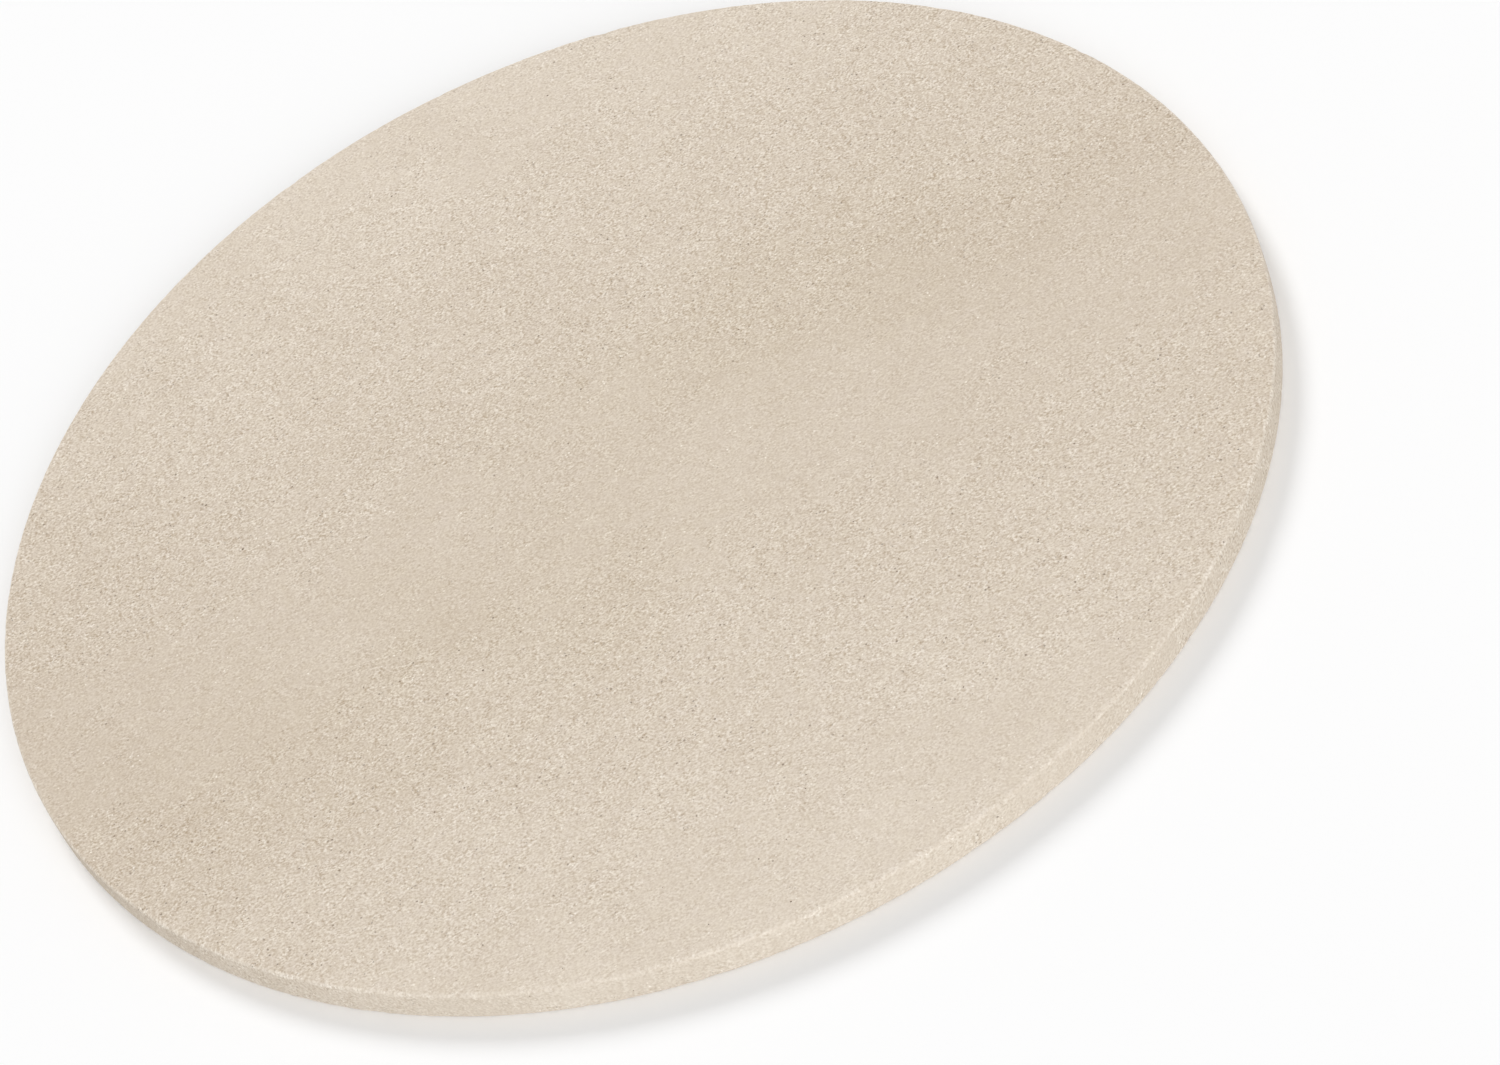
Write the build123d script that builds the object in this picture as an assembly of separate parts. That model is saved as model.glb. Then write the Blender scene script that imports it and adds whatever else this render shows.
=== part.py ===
from build123d import *
import os

# A round baking stone: one slab of porous cordierite ceramic, pressed in a die and fired whole.
# The origin is the centre of the resting face, and +Z points up out of the baking face.

# Driving sizes of the slab, in millimetres
stone_diameter = 380.0
stone_thickness = 10.0

# The press leaves both rims of the wall rounded, the lip at the baking face more than the foot.
lip_radius = 1.2
foot_radius = 1.0


def half_section():
    """The slab's section on one side of its axis: resting face, foot, wall, lip and baking face."""
    wall_place = stone_diameter / 2
    with BuildSketch(Plane.XZ) as section:
        with BuildLine():
            resting_face = Line((0, 0), (wall_place - foot_radius, 0))
            foot = RadiusArc(resting_face @ 1, (wall_place, foot_radius), -foot_radius)
            wall = Line(foot @ 1, (wall_place, stone_thickness - lip_radius))
            lip = RadiusArc(wall @ 1, (wall_place - lip_radius, stone_thickness), -lip_radius)
            baking_face = Line(lip @ 1, (0, stone_thickness))
            Line(baking_face @ 1, resting_face @ 0)
        make_face()
    return section.sketch


def baking_slab():
    """The section turned once round the stone's axis."""
    slab = revolve(half_section(), axis=Axis.Z)
    slab.label = "baking_slab"
    return slab


os.makedirs("parts", exist_ok=True)
export_step(baking_slab(), "parts/baking_slab.step")
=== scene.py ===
import math
import random

import bmesh
import bpy
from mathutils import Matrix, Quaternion, Vector


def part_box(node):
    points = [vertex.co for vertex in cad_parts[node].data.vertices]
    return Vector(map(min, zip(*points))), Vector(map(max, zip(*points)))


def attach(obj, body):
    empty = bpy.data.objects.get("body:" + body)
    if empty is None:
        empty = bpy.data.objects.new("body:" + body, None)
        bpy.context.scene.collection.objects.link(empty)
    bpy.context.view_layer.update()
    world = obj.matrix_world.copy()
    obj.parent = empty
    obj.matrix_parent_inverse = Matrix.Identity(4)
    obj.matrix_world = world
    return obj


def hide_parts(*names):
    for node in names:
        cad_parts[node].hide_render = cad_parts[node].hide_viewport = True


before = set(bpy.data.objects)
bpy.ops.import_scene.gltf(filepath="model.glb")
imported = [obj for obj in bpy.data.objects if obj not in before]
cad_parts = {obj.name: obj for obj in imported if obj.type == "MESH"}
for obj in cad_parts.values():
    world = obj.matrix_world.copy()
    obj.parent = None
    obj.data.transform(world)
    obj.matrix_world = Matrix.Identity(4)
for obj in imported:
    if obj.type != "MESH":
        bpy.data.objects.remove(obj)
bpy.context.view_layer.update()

# Baking slab: one disc of cordierite ceramic, pressed in a steel die and fired whole, unglazed.
# Both rims come rounded out of the press, the lip at the baking face more than the foot.
# Firing and handling leave open pores in its skin and crumbled grains along the two arrises.
slab_low, slab_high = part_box("baking_slab")
slab_radius = min(slab_high.x, -slab_low.x, slab_high.y, -slab_low.y)
slab_thickness = slab_high.z - slab_low.z
lip_radius = 0.0012
foot_radius = 0.0010
hair = 0.00001

rim_steps = 1280
lip_steps = 5
foot_steps = 4
wall_cuts = 6
baking_face_steps = 800
resting_face_steps = 400
hem_width = 0.0003
border_width = 0.0022
smooth_angle = math.radians(35)

bpy.ops.object.select_all(action="DESELECT")
bpy.ops.mesh.primitive_cylinder_add(
    vertices=rim_steps,
    radius=slab_radius,
    depth=slab_thickness,
    end_fill_type="NGON",
    location=(0, 0, slab_thickness / 2),
)
slab = bpy.context.object
slab.name = "baking_slab_fired"
slab.data.name = slab.name
bpy.ops.object.transform_apply(location=True, rotation=True, scale=True)


def select_edges(body, wanted):
    """Selects just the edges of the body in edit mode whose two ends satisfy wanted."""
    bpy.ops.mesh.select_mode(type="EDGE")
    bpy.ops.mesh.select_all(action="DESELECT")
    shape = bmesh.from_edit_mesh(body.data)
    for edge in shape.edges:
        edge.select_set(wanted(*(end.co for end in edge.verts)))
    shape.select_flush_mode()
    bmesh.update_edit_mesh(body.data)


def at_height(height):
    """Says whether both ends of an edge lie at this height."""
    return lambda a, b: abs(a.z - height) < hair and abs(b.z - height) < hair


bpy.ops.object.mode_set(mode="EDIT")
select_edges(slab, at_height(slab_thickness))
bpy.ops.mesh.bevel(offset=lip_radius, segments=lip_steps, affect="EDGES")
select_edges(slab, at_height(0))
bpy.ops.mesh.bevel(offset=foot_radius, segments=foot_steps, affect="EDGES")
select_edges(slab, lambda a, b: abs(a.z - b.z) > slab_thickness / 2)
bpy.ops.mesh.subdivide(number_cuts=wall_cuts)

# The two end faces keep a narrow flat hem beside the rim. Inside it they are opened, and filled
# again with an even grid of small squares.
bpy.ops.mesh.select_mode(type="FACE")
bpy.ops.mesh.select_all(action="DESELECT")
shape = bmesh.from_edit_mesh(slab.data)
for face in shape.faces:
    face.select_set(len(face.verts) == rim_steps)
bmesh.update_edit_mesh(slab.data)
bpy.ops.mesh.inset(thickness=hem_width, use_individual=True)
bpy.ops.mesh.delete(type="ONLY_FACE")


def fill_end(body, height, opening, steps):
    """Fills an end of the slab with a round grid of squares and a border that meets the rim."""
    bpy.ops.mesh.select_all(action="DESELECT")
    inner = opening - border_width
    bpy.ops.mesh.primitive_circle_add(vertices=steps, radius=inner, location=(0, 0, height))
    bpy.ops.mesh.fill_grid(span=steps // 4, use_interp_simple=True)
    bpy.ops.mesh.select_all(action="DESELECT")
    bpy.ops.mesh.select_mode(type="EDGE")
    bpy.ops.mesh.select_non_manifold()
    shape = bmesh.from_edit_mesh(body.data)
    for edge in shape.edges:
        if edge.select and not at_height(height)(*(end.co for end in edge.verts)):
            edge.select_set(False)
    bmesh.update_edit_mesh(body.data)
    bpy.ops.mesh.fill(use_beauty=True)


fill_end(slab, slab_thickness, slab_radius - lip_radius - hem_width, baking_face_steps)
fill_end(slab, 0, slab_radius - foot_radius - hem_width, resting_face_steps)
bpy.ops.mesh.select_all(action="SELECT")
bpy.ops.mesh.normals_make_consistent(inside=False)
bpy.ops.object.mode_set(mode="OBJECT")

# Relief of the slab: its skin dips where the powder lay thinner, and both arrises are worn and
# crumbled. Every dip goes into the slab, so that its full size stays the die's.
arris_reach = 0.0015


def from_arris(place):
    """How far a place is from the sharp corner that the rim had before it was rounded."""
    outward = slab_radius - math.hypot(place.x, place.y)
    return math.hypot(outward, min(slab_thickness - place.z, place.z))


arrises = slab.vertex_groups.new(name="arrises")
for corner in slab.data.vertices:
    worn = 1 - from_arris(corner.co) / arris_reach
    if worn > 0:
        arrises.add([corner.index], min(1, 2 * worn), "REPLACE")


def press_in(body, name, size, depth, group="", bare_share=0):
    """Presses a seeded cloud pattern into the body, nowhere deeper than depth."""
    pattern = bpy.data.textures.new(name, "CLOUDS")
    pattern.noise_scale = size
    pattern.use_color_ramp = True
    deep, bare = pattern.color_ramp.elements
    deep.color = (0, 0, 0, 1)
    bare.color = (1, 1, 1, 1)
    bare.position = 1 - bare_share
    deep.position = 0
    press = body.modifiers.new(name, "DISPLACE")
    press.texture = pattern
    press.texture_coords = "LOCAL"
    press.mid_level = 1
    press.strength = depth
    press.vertex_group = group
    bpy.ops.object.modifier_apply(modifier=name)


press_in(slab, "powder_swell", size=0.020, depth=0.00009)
press_in(slab, "grit_lumps", size=0.0045, depth=0.00003)
press_in(slab, "arris_wear", size=0.0026, depth=0.00020, group="arrises")
press_in(slab, "arris_crumbs", size=0.0042, depth=0.00045, group="arrises", bare_share=0.62)

# Open pores of the slab: the larger ones are real pits, sunk in batches from small to large.
# The baking face has hardly any along the calm band that crosses it beside its middle.
chance = random.Random(11)
round_profile = 0.086
pit_slope_share = 0.16
calm_band_middle = -0.013
calm_band_half_width = 0.030
pit_batches = (
    # width, depth, and how many are in the baking face, the resting face and the wall
    (0.00030, 0.00020, 200, 100, 40),
    (0.00042, 0.00028, 50, 34, 10),
    (0.00056, 0.00036, 30, 18, 3),
    (0.00076, 0.00044, 9, 5, 0),
)


def sink_pores(body, count, width, depth, belongs):
    """Sinks this many pits of one size at chosen corners of the mesh, and marks their floors for
    painted shade.
    """
    bpy.ops.mesh.select_mode(type="VERT")
    bpy.ops.mesh.select_all(action="DESELECT")
    shape = bmesh.from_edit_mesh(body.data)
    roomy = [
        corner for corner in shape.verts
        if belongs(corner.co)
        and all(len(side.verts) == 4 for side in corner.link_faces)
        and min(edge.calc_length() for edge in corner.link_edges) > width
    ]
    for corner in chance.sample(roomy, count):
        corner.select_set(True)
    bmesh.update_edit_mesh(body.data)
    bpy.ops.mesh.bevel(offset=width / 2, segments=2, profile=round_profile, affect="VERTICES")
    bpy.ops.mesh.inset(thickness=width * pit_slope_share, depth=-depth)
    shape = bmesh.from_edit_mesh(body.data)
    pit = shape.verts.layers.float["pit"]
    for corner in shape.verts:
        if corner.select:
            corner[pit] = 1
    bmesh.update_edit_mesh(body.data)


def clear_of_rim(place):
    """Says whether a place lies well inside the lip and the foot."""
    return place.xy.length < slab_radius - 2 * lip_radius


def on_baking_face(place):
    """Says whether a place lies on the baking face, clear of the lip and of the calm band."""
    top = place.z > slab_thickness - foot_radius / 2
    return top and clear_of_rim(place) and abs(place.y - calm_band_middle) > calm_band_half_width


def on_resting_face(place):
    """Says whether a place lies on the resting face, clear of the foot."""
    return place.z < foot_radius / 2 and clear_of_rim(place)


def on_wall(place):
    """Says whether a place lies on the upright wall between the lip and the foot."""
    return foot_radius < place.z < slab_thickness - lip_radius


slab.data.attributes.new("pit", "FLOAT", "POINT")
bpy.ops.object.mode_set(mode="EDIT")
for width, depth, on_top, below, on_side in pit_batches:
    sink_pores(slab, on_top, width, depth, on_baking_face)
    sink_pores(slab, below, width, depth, on_resting_face)
    if on_side:
        sink_pores(slab, on_side, width, depth, on_wall)
bpy.ops.object.mode_set(mode="OBJECT")

# Unwrap of the slab: the baking face, lip and wall open out flat as one disc, and the resting
# face and foot as another beside it.
upper_share = 0.393
lower_share = 0.184
unwrap_margin = 0.004
wall_height = slab_thickness - lip_radius - foot_radius
upper_reach = slab_radius - lip_radius + lip_radius * math.pi / 2 + wall_height
lower_reach = slab_radius - foot_radius + foot_radius * math.pi / 2


def along_section(place, upper):
    """The way from the slab's axis to a place, over the face, round the rim and down the wall."""
    out = math.hypot(place.x, place.y)
    if upper:
        rounding = lip_radius
        level = place.z - slab_thickness + lip_radius
    else:
        rounding = foot_radius
        level = foot_radius - place.z
    start = slab_radius - rounding
    if out < start:
        return out
    if level > 0:
        return start + rounding * math.atan2(out - start, level)
    return start + rounding * math.pi / 2 - level


unwrap = slab.data.uv_layers.new(name="OFBake")
for face in slab.data.polygons:
    upper = face.center.z > foot_radius
    share, reach = (upper_share, upper_reach) if upper else (lower_share, lower_reach)
    middle = share + unwrap_margin if upper else 1 - share - unwrap_margin
    side = 1 if upper else -1
    for loop in face.loop_indices:
        place = slab.data.vertices[slab.data.loops[loop].vertex_index].co
        out = max(place.xy.length, hair)
        far = along_section(place, upper) * share / reach
        unwrap.data[loop].uv = (middle + side * place.x / out * far, middle + place.y / out * far)

bpy.ops.object.shade_smooth_by_angle(angle=smooth_angle)

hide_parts("baking_slab")
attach(slab, "root")


def put(tree, kind, feeds, **settings):
    """Adds a node of this kind; each input is fed a value, or the output socket that it follows."""
    node = tree.nodes.new(kind)
    for name, value in settings.items():
        setattr(node, name, value)
    for name, value in feeds.items():
        if isinstance(value, bpy.types.NodeSocket):
            tree.links.new(value, node.inputs[name])
        else:
            node.inputs[name].default_value = value
    return node


def work(tree, operation, first, second=0.0, third=0.0):
    """Adds a Math node and gives its result."""
    feeds = {0: first, 1: second, 2: third}
    return put(tree, "ShaderNodeMath", feeds, operation=operation).outputs[0]


def vector_work(tree, operation, first, second=(0, 0, 0), third=(0, 0, 0)):
    """Adds a Vector Math node and gives the place that it works out."""
    feeds = {0: first, 1: second, 2: third}
    return put(tree, "ShaderNodeVectorMath", feeds, operation=operation).outputs[0]


def length(tree, vector):
    """How long a vector is."""
    return put(tree, "ShaderNodeVectorMath", {0: vector}, operation="LENGTH").outputs["Value"]


def spread(tree, value, low, high, new_low, new_high, smooth=True):
    """Maps a value's range onto another range, eased at both ends and held there."""
    kind = "SMOOTHSTEP" if smooth else "LINEAR"
    feeds = {"Value": value, "From Min": low, "From Max": high, "To Min": new_low, "To Max": new_high}
    return put(tree, "ShaderNodeMapRange", feeds, interpolation_type=kind).outputs[0]


def cloud(tree, place, size, layers=0.0, broken=0.5):
    """A cloud pattern about 0.5, whose clouds have this size in metres."""
    feeds = {"Vector": place, "Scale": 1 / size, "Detail": layers, "Roughness": broken}
    return put(tree, "ShaderNodeTexNoise", feeds).outputs[0]


def swing(tree, place, size, reach, layers=0.0, broken=0.5):
    """A cloud pattern about zero, whose whole range is this reach."""
    return work(tree, "MULTIPLY_ADD", cloud(tree, place, size, layers, broken), reach, -reach / 2)


def blend(tree, share, first, second, kind="MIX"):
    """Mixes two colours by a share that is held between 0 and 1."""
    feeds = {0: share, 6: first, 7: second}
    return put(tree, "ShaderNodeMix", feeds, data_type="RGBA", blend_type=kind).outputs[2]


def stray(tree, place, size, reach):
    """Moves a place by up to about this reach, so that what is drawn there has uneven edges."""
    noise = put(tree, "ShaderNodeTexNoise", {"Vector": place, "Scale": 1 / size, "Detail": 1.0})
    centred = vector_work(tree, "SUBTRACT", noise.outputs["Color"], (0.5, 0.5, 0.5))
    return vector_work(tree, "MULTIPLY_ADD", centred, (2 * reach, 2 * reach, 2 * reach), place)


def start_group(name, *outputs):
    """Starts a node group that takes a place on the slab and gives these values."""
    group = bpy.data.node_groups.new(name, "ShaderNodeTree")
    group.interface.new_socket(name="Place", in_out="INPUT", socket_type="NodeSocketVector")
    for output in outputs:
        group.interface.new_socket(name=output, in_out="OUTPUT", socket_type="NodeSocketFloat")
    place = group.nodes.new("NodeGroupInput").outputs["Place"]
    return group, place, group.nodes.new("NodeGroupOutput").inputs


# Sand grain of the slab: the pressed grit, with pale crushed grog and fine open pores in it.
# The grit shows less in smooth patches, which crowd along the calm band and at two far edges.
grit_size = 0.00067
grit_stretch = (0.85, 1.1, 1)
grit_reach = 0.78
lump_size = 0.0022
lump_reach = 0.12
slant_axis = (1.0, 0.6, 0.25)
slant_angle = 0.9
calm_band_reach = 0.075
calm_band_weight = 0.72
far_edges = (0.095, 0.180)
far_edges_weight = 0.62
patch_size = 0.030
patch_reach = 1.6
smooth_range = (0.10, 0.75)
least_shown = 0.63
most_shown = 1.08
cluster_size = 0.0048
cluster_range = (0.32, 0.68)
cluster_sway = 0.26
lean_sway = 0.12
cell_size = 0.0011
grog_size = 0.00074
grog_share = 0.15
grog_contrast = 2.1
pore_size = 0.00080
pore_share = 0.19
pore_range = (0.50, 1.05)
least_pores = 0.15
extents = (0.45, 1.1)
uneven_size = 0.00045
uneven_reach = 0.00022
grain, place, gives = start_group("sand_grain", "Grit", "Grog", "Pores")
stretched = vector_work(grain, "MULTIPLY", place, grit_stretch)
slant = {"Vector": stretched, "Axis": slant_axis, "Angle": slant_angle}
slanted = put(grain, "ShaderNodeVectorRotate", slant).outputs[0]
fine = swing(grain, slanted, grit_size, grit_reach, layers=1.0, broken=0.6)
lumps = swing(grain, slanted, lump_size, lump_reach, layers=1.0)
both = work(grain, "ADD", fine, lumps)
aside = put(grain, "ShaderNodeSeparateXYZ", {0: place}).outputs["Y"]
from_band = work(grain, "ABSOLUTE", work(grain, "SUBTRACT", aside, calm_band_middle))
band = spread(grain, from_band, 0, calm_band_reach, calm_band_weight, 0)
ends = spread(grain, work(grain, "ABSOLUTE", aside), *far_edges, 0, far_edges_weight)
patches = swing(grain, place, patch_size, patch_reach, layers=1.5)
smooth_share = work(grain, "ADD", work(grain, "ADD", band, ends), patches)
shown = spread(grain, smooth_share, *smooth_range, most_shown, least_shown)
clusters = cloud(grain, place, cluster_size, layers=1.0)
clusters = spread(grain, clusters, *cluster_range, 1 - cluster_sway, 1 + cluster_sway)
shown = work(grain, "MULTIPLY", shown, clusters)
lean = spread(grain, aside, -slab_radius, slab_radius, 1 - lean_sway, 1 + lean_sway, smooth=False)
shown = work(grain, "MULTIPLY", shown, lean)
grain.links.new(work(grain, "MULTIPLY", both, shown), gives["Grit"])


def sprinkle(tree, place, spacing, size, share, seed):
    """Single grains up to this size: 1 inside a grain, in this share of cells of this spacing."""
    shifted = vector_work(tree, "ADD", place, (seed, seed, seed))
    cells = put(tree, "ShaderNodeTexVoronoi", {"Vector": shifted, "Scale": 1 / spacing})
    chosen = put(tree, "ShaderNodeSeparateColor", {"Color": cells.outputs["Color"]})
    picked = spread(tree, chosen.outputs[0], 1 - share, 1, 0, 1)
    extent = spread(tree, chosen.outputs[1], 0, 1, *extents, smooth=False)
    away = work(tree, "DIVIDE", cells.outputs["Distance"], extent)
    near = spread(tree, away, size / spacing / 2, size / spacing / 4, 0, 1)
    return work(tree, "MULTIPLY", near, work(tree, "POWER", picked, 0.5))


uneven = stray(grain, place, uneven_size, uneven_reach)
grog = sprinkle(grain, uneven, cell_size, grog_size, grog_share, seed=0.31)
where_coarse = work(grain, "POWER", shown, grog_contrast)
grain.links.new(work(grain, "MULTIPLY", grog, where_coarse), gives["Grog"])
pores = sprinkle(grain, uneven, cell_size, pore_size, pore_share, seed=0.77)
where_coarse = spread(grain, shown, *pore_range, least_pores, 1)
grain.links.new(work(grain, "MULTIPLY", pores, where_coarse), gives["Pores"])

# Kiln mottle of the slab: it is lighter towards two far edges, partly from the firing and partly
# painted light, with three darker smears along its middle and two warm spots between them.
edge_mottle_and_painted_light = 0.115
edge_bend = 1.7
smear_light = -0.040
smears = (
    # middle, reach
    ((0.105, 0.020, 0), (0.125, 0.032, 1)),
    ((-0.120, -0.048, 0), (0.125, 0.050, 1)),
    ((-0.190, 0.000, 0), (0.070, 0.140, 1)),
)
warm_share = 0.22
warm_spots = (
    ((0.060, 0.025, 0), (0.110, 0.045, 1)),
    ((-0.065, -0.045, 0), (0.115, 0.045, 1)),
)
oval_edge = 1.25
oval_core = 0.1
wander_size = 0.038
wander_reach = 0.040
mottle_size = 0.022
mottle_reach = 0.10
fleck_size = 0.005


def ovals(tree, place, spots):
    """Adds up soft ovals in the level plane, each given by its middle and its reach."""
    level = vector_work(tree, "MULTIPLY", place, (1, 1, 0))
    total = 0.0
    for middle, reach in spots:
        away = vector_work(tree, "SUBTRACT", level, middle)
        away = length(tree, vector_work(tree, "DIVIDE", away, reach))
        total = work(tree, "ADD", spread(tree, away, oval_edge, oval_core, 0, 1), total)
    return total


mottle, place, gives = start_group("kiln_mottle", "Lightness", "Warmth")
wandered = stray(mottle, place, wander_size, wander_reach)
aside = put(mottle, "ShaderNodeSeparateXYZ", {0: wandered}).outputs["Y"]
aside = work(mottle, "DIVIDE", work(mottle, "ABSOLUTE", aside), slab_radius)
# Lighter towards two far edges: partly kiln mottle, partly painted light.
light = work(mottle, "MULTIPLY", work(mottle, "POWER", aside, edge_bend), edge_mottle_and_painted_light)
light = work(mottle, "MULTIPLY_ADD", ovals(mottle, wandered, smears), smear_light, light)
drift = swing(mottle, place, mottle_size, mottle_reach, layers=2.0, broken=0.6)
light = work(mottle, "ADD", drift, light)
mottle.links.new(light, gives["Lightness"])
flecks = cloud(mottle, place, fleck_size, layers=2.0, broken=0.7)
warmth = work(mottle, "MULTIPLY_ADD", ovals(mottle, wandered, warm_spots), warm_share, flecks)
mottle.links.new(warmth, gives["Warmth"])

# Rim marks of the slab: painted shade on its wall, eased towards the foot as painted light against
# the floor's shadow, and the drag of the die down it; and the rubbed arrises, pale in a broken line
# that is partly wear and partly painted highlight. At two sides the line is slimmer, stronger and
# lies lower, with more painted highlight.
face_clearance = (0.0004, 0.0014)
wall_clearance = (0.0012, 0.0006)
painted_shade_heights = (0.0015, 0.0075)
foot_painted_shade_share = 0.4
side_start = 0.060
side_full = 0.150
side_highlight_drop = 0.0004
side_highlight_gain = 0.80
line_reach = 0.0015
line_core = 0.0006
side_line_reach = 0.0010
side_line_core = 0.0005
ragged_size = 0.0022
ragged_reach = 0.0016
broken_size = 0.0024
broken_range = (0.36, 0.64)
broken_light = (0.4, 1.5)
drag_size = 0.0011
drag_stretch = (1, 1, 0.12)
rim, place, gives = start_group("rim_marks", "Wall", "PaintedWallShade", "Line", "Drag")
parts = put(rim, "ShaderNodeSeparateXYZ", {0: place}).outputs
from_axis = length(rim, vector_work(rim, "MULTIPLY", place, (1, 1, 0)))
from_wall = work(rim, "SUBTRACT", slab_radius, from_axis)
from_face = work(rim, "MINIMUM", work(rim, "SUBTRACT", slab_thickness, parts["Z"]), parts["Z"])
wall = spread(rim, from_face, *face_clearance, 0, 1)
wall = work(rim, "MULTIPLY", wall, spread(rim, from_wall, *wall_clearance, 0, 1))
rim.links.new(wall, gives["Wall"])
# Painted shade over the wall, eased near the foot, where that ease is painted light against the
# floor's shadow.
painted_wall_shade = spread(rim, parts["Z"], *painted_shade_heights, foot_painted_shade_share, 1)
rim.links.new(work(rim, "MULTIPLY", wall, painted_wall_shade), gives["PaintedWallShade"])

# The pale arris line is partly rubbed wear and partly painted highlight; at two sides it carries more
# painted highlight, slimmer and lower.
at_side = spread(rim, work(rim, "ABSOLUTE", parts["X"]), side_start, side_full, 0, 1)
lowered = work(rim, "MULTIPLY_ADD", at_side, -side_highlight_drop, from_face)
to_arris = length(rim, put(rim, "ShaderNodeCombineXYZ", {"X": from_wall, "Y": lowered}).outputs[0])
ragged = swing(rim, place, ragged_size, ragged_reach, layers=2.0, broken=0.65)
to_line = work(rim, "ADD", ragged, to_arris)
reach = work(rim, "MULTIPLY_ADD", at_side, side_line_reach - line_reach, line_reach)
core = work(rim, "MULTIPLY_ADD", at_side, side_line_core - line_core, line_core)
broken = cloud(rim, place, broken_size, layers=3.0, broken=0.7)
broken = spread(rim, broken, *broken_range, *broken_light)
broken = work(rim, "MULTIPLY", broken, work(rim, "MULTIPLY_ADD", at_side, side_highlight_gain, 1.0))
worn_line_and_highlight = work(rim, "MULTIPLY", spread(rim, to_line, reach, core, 0, 1), broken)
rim.links.new(worn_line_and_highlight, gives["Line"])
streaks = vector_work(rim, "MULTIPLY", place, drag_stretch)
rim.links.new(swing(rim, streaks, drag_size, reach=1.0, layers=2.0), gives["Drag"])

# Cordierite: the fired ceramic of the slab, matt and unglazed. The three patterns above set how
# light its sand is, how open its pores are, and the fine relief that its grains raise. Its colour
# also carries painted shade in pits, pores and on the wall, and painted light on the arrises and at
# two far edges.
dark_sand = (0.458, 0.357, 0.256, 1)
pale_sand = (0.946, 0.868, 0.770, 1)
painted_pore_shade = (0.20, 0.14, 0.095, 1)
warm_tint = (1.0, 1.0, 0.80, 1)
wall_tint = (0.982, 1.0, 1.005, 1)
plain_light = 0.432
grit_light = 1.83
grog_light = 1.25
line_and_highlight_light = 0.10
wall_painted_shade = -0.062
drag_light = 0.20
calm_of_wall = 0.12
warmth_range = (0.28, 1.28)
most_warmth = 0.27
pore_shade_cover = 0.88
fine_pore_share = 0.75
plain_roughness = 0.88
grit_roughness = 0.5
grog_height = 0.5
pore_height = -0.8
drag_height = 0.4
relief_depth = 0.00018
glint = 0.3
cordierite = bpy.data.materials.new("cordierite")
cordierite.use_nodes = True
tree = cordierite.node_tree
surface = tree.nodes["Principled BSDF"]
surface.inputs["Specular IOR Level"].default_value = glint
place = tree.nodes.new("ShaderNodeTexCoord").outputs["Object"]


def pattern_of(group):
    """Places one of the patterns in the cordierite, and gives its outputs."""
    return put(tree, "ShaderNodeGroup", {"Place": place}, node_tree=group).outputs


of_grain = pattern_of(grain)
of_mottle = pattern_of(mottle)
of_rim = pattern_of(rim)

calm = work(tree, "MULTIPLY_ADD", of_rim["Wall"], -calm_of_wall, 1.0)
grit = work(tree, "MULTIPLY", of_grain["Grit"], calm)
pale_grains = work(tree, "MULTIPLY", of_grain["Grog"], calm)
drag = work(tree, "MULTIPLY", of_rim["Drag"], of_rim["Wall"])
light = work(tree, "MULTIPLY_ADD", grit, grit_light, plain_light)
light = work(tree, "ADD", light, of_mottle["Lightness"])
light = work(tree, "MULTIPLY_ADD", pale_grains, grog_light, light)
light = work(tree, "MULTIPLY_ADD", of_rim["Line"], line_and_highlight_light, light)
light = work(tree, "MULTIPLY_ADD", of_rim["PaintedWallShade"], wall_painted_shade, light)
light = work(tree, "MULTIPLY_ADD", drag, drag_light, light)
sand = blend(tree, light, dark_sand, pale_sand)

warmth = spread(tree, of_mottle["Warmth"], *warmth_range, 0, most_warmth, smooth=False)
warmth = work(tree, "MULTIPLY", warmth, work(tree, "SUBTRACT", 1.0, of_rim["Wall"]))
sand = blend(tree, warmth, sand, warm_tint, kind="MULTIPLY")
sand = blend(tree, of_rim["Wall"], sand, wall_tint, kind="MULTIPLY")
# Painted shade in the hollows: pit floors and fine pores are blended towards a dark pore colour.
pits = put(tree, "ShaderNodeAttribute", {}, attribute_name="pit").outputs["Fac"]
fine_pores = work(tree, "MULTIPLY", of_grain["Pores"], fine_pore_share)
pores_painted_dark = work(tree, "MAXIMUM", fine_pores, pits)
sand = blend(tree, work(tree, "MULTIPLY", pores_painted_dark, pore_shade_cover), sand, painted_pore_shade)
tree.links.new(sand, surface.inputs["Base Color"])

roughness = work(tree, "MULTIPLY_ADD", of_grain["Grit"], grit_roughness, plain_roughness)
tree.links.new(roughness, surface.inputs["Roughness"])
height = work(tree, "MULTIPLY_ADD", pale_grains, grog_height, grit)
height = work(tree, "MULTIPLY_ADD", of_grain["Pores"], pore_height, height)
height = work(tree, "MULTIPLY_ADD", drag, drag_height, height)
relief = put(tree, "ShaderNodeBump", {"Height": height, "Distance": relief_depth, "Strength": 1.0})
tree.links.new(relief.outputs["Normal"], surface.inputs["Normal"])
slab.data.materials.clear()
slab.data.materials.append(cordierite)

# Floor: a matt white paper sweep under the stone, wide enough to reach the horizon of a low view.
# It is the stage, and not part of the object.
floor_width = 60
paper_white = (0.98, 0.98, 0.98, 1)
bpy.ops.mesh.primitive_plane_add(size=floor_width, location=(0, 0, 0))
floor = bpy.context.object
floor.name = "paper_floor"
paper = bpy.data.materials.new("white_paper")
paper.use_nodes = True
sheet = paper.node_tree.nodes["Principled BSDF"]
sheet.inputs["Base Color"].default_value = paper_white
sheet.inputs["Roughness"].default_value = 1
sheet.inputs["Specular IOR Level"].default_value = 0
floor.data.materials.append(paper)

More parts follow.
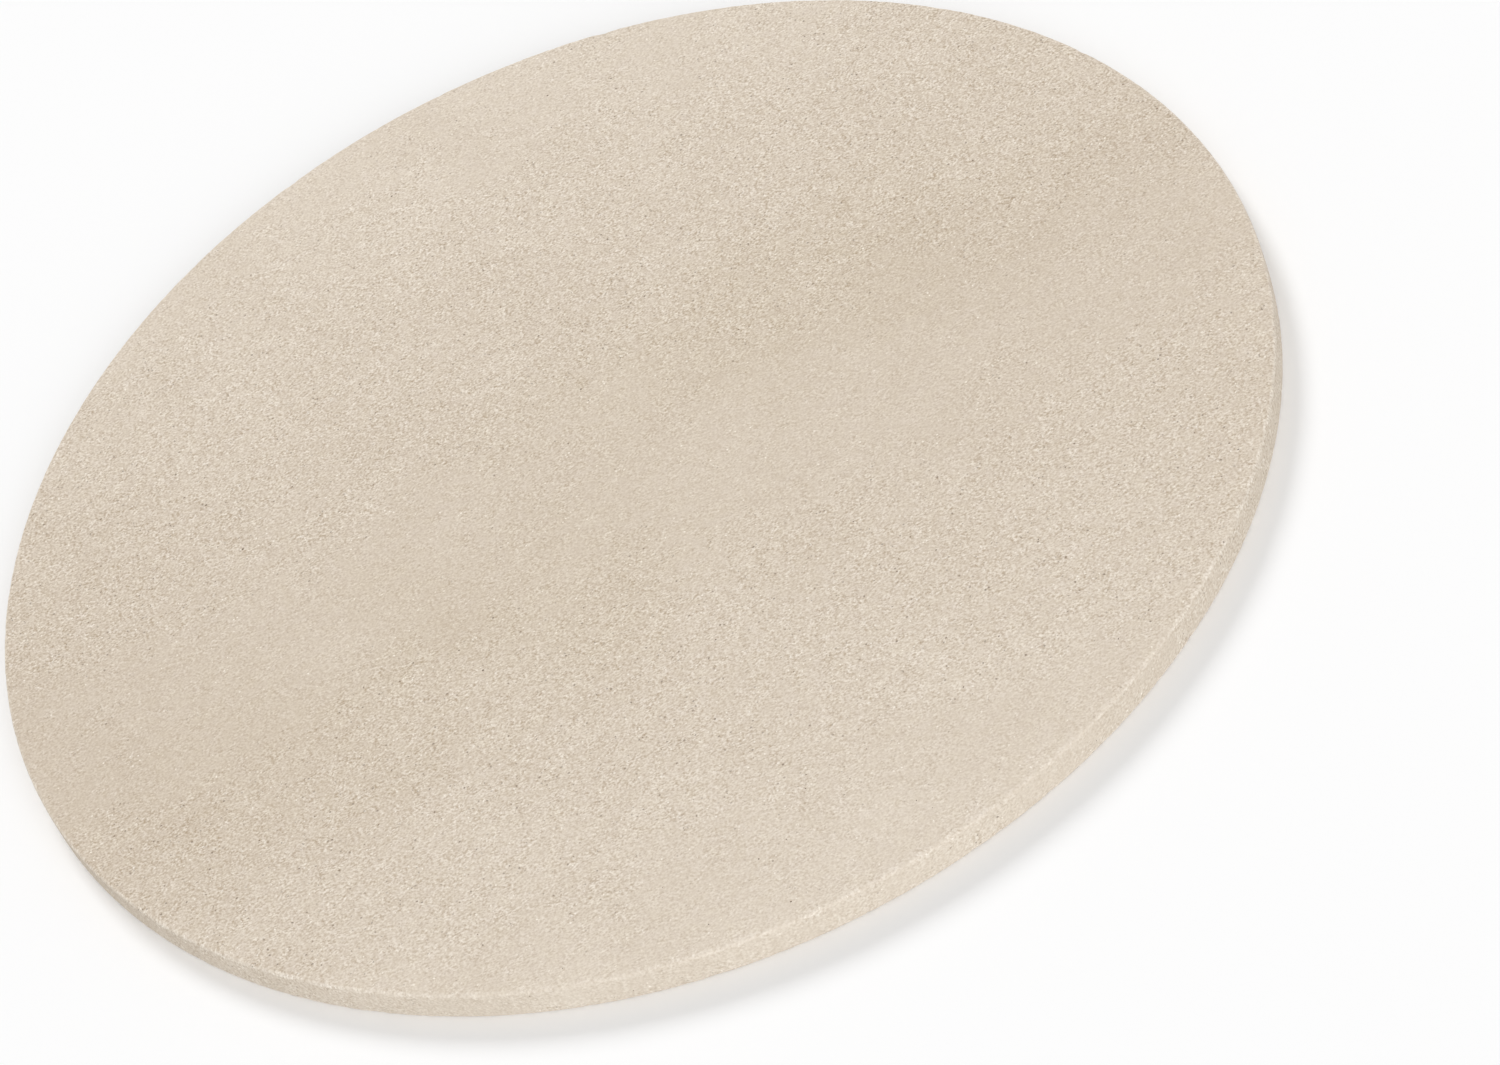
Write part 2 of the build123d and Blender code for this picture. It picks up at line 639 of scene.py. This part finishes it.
# Light: a pale sky all round gives about half of it, and two far soft lamps the rest.
# Seen straight or in a reflection, the sky is the paper's white, so that no horizon shows.
sky_share = 0.51
lamp_distance = 3
world = bpy.data.worlds.new("studio")
bpy.context.scene.world = world
world.use_nodes = True
tree = world.node_tree
sky = tree.nodes["Background"]
sky.inputs["Color"].default_value = (1, 1, 1, 1)
sky.inputs["Strength"].default_value = sky_share
backdrop = put(tree, "ShaderNodeBackground", {"Color": paper_white, "Strength": 1.0}).outputs[0]
ray = tree.nodes.new("ShaderNodeLightPath").outputs
seen = work(tree, "MAXIMUM", ray["Is Camera Ray"], ray["Is Glossy Ray"])
seen = work(tree, "MAXIMUM", seen, ray["Is Transmission Ray"])
sky_or_paper = put(tree, "ShaderNodeMixShader", {0: seen, 1: sky.outputs[0], 2: backdrop}).outputs[0]
tree.links.new(sky_or_paper, tree.nodes["World Output"].inputs["Surface"])


def lamp(name, azimuth, elevation, share, softness):
    """A far soft lamp that gives this share of the level light on a face that looks up."""
    a = math.radians(azimuth)
    e = math.radians(elevation)
    towards = Vector((math.sin(a) * math.cos(e), math.cos(a) * math.cos(e), math.sin(e)))
    bpy.ops.object.light_add(type="SUN", location=towards * lamp_distance)
    light = bpy.context.object
    light.name = name
    light.rotation_mode = "QUATERNION"
    light.rotation_quaternion = towards.to_track_quat("Z", "Y")
    light.data.energy = share * math.pi / math.sin(e)
    light.data.angle = math.radians(softness)


lamp("key_lamp", azimuth=-8, elevation=36, share=0.25, softness=20)
lamp("front_fill", azimuth=174, elevation=30, share=0.24, softness=50)

# Camera: it looks down on the stone from in front, rolled as in the photo, through a long lens.
camera_place = (0, -1.0596, 0.9581)
camera_aim = Vector((0.0231, -0.0461, 0.005))
camera_roll = math.radians(-24.717)
bpy.ops.object.camera_add(location=camera_place)
camera = bpy.context.object
look = (camera_aim - camera.location).to_track_quat("-Z", "Y")
camera.rotation_mode = "QUATERNION"
camera.rotation_quaternion = look @ Quaternion((0, 0, 1), camera_roll)
camera.data.lens = 120
camera.data.sensor_width = 36
bpy.context.scene.camera = camera

bpy.context.scene.view_settings.view_transform = "Standard"
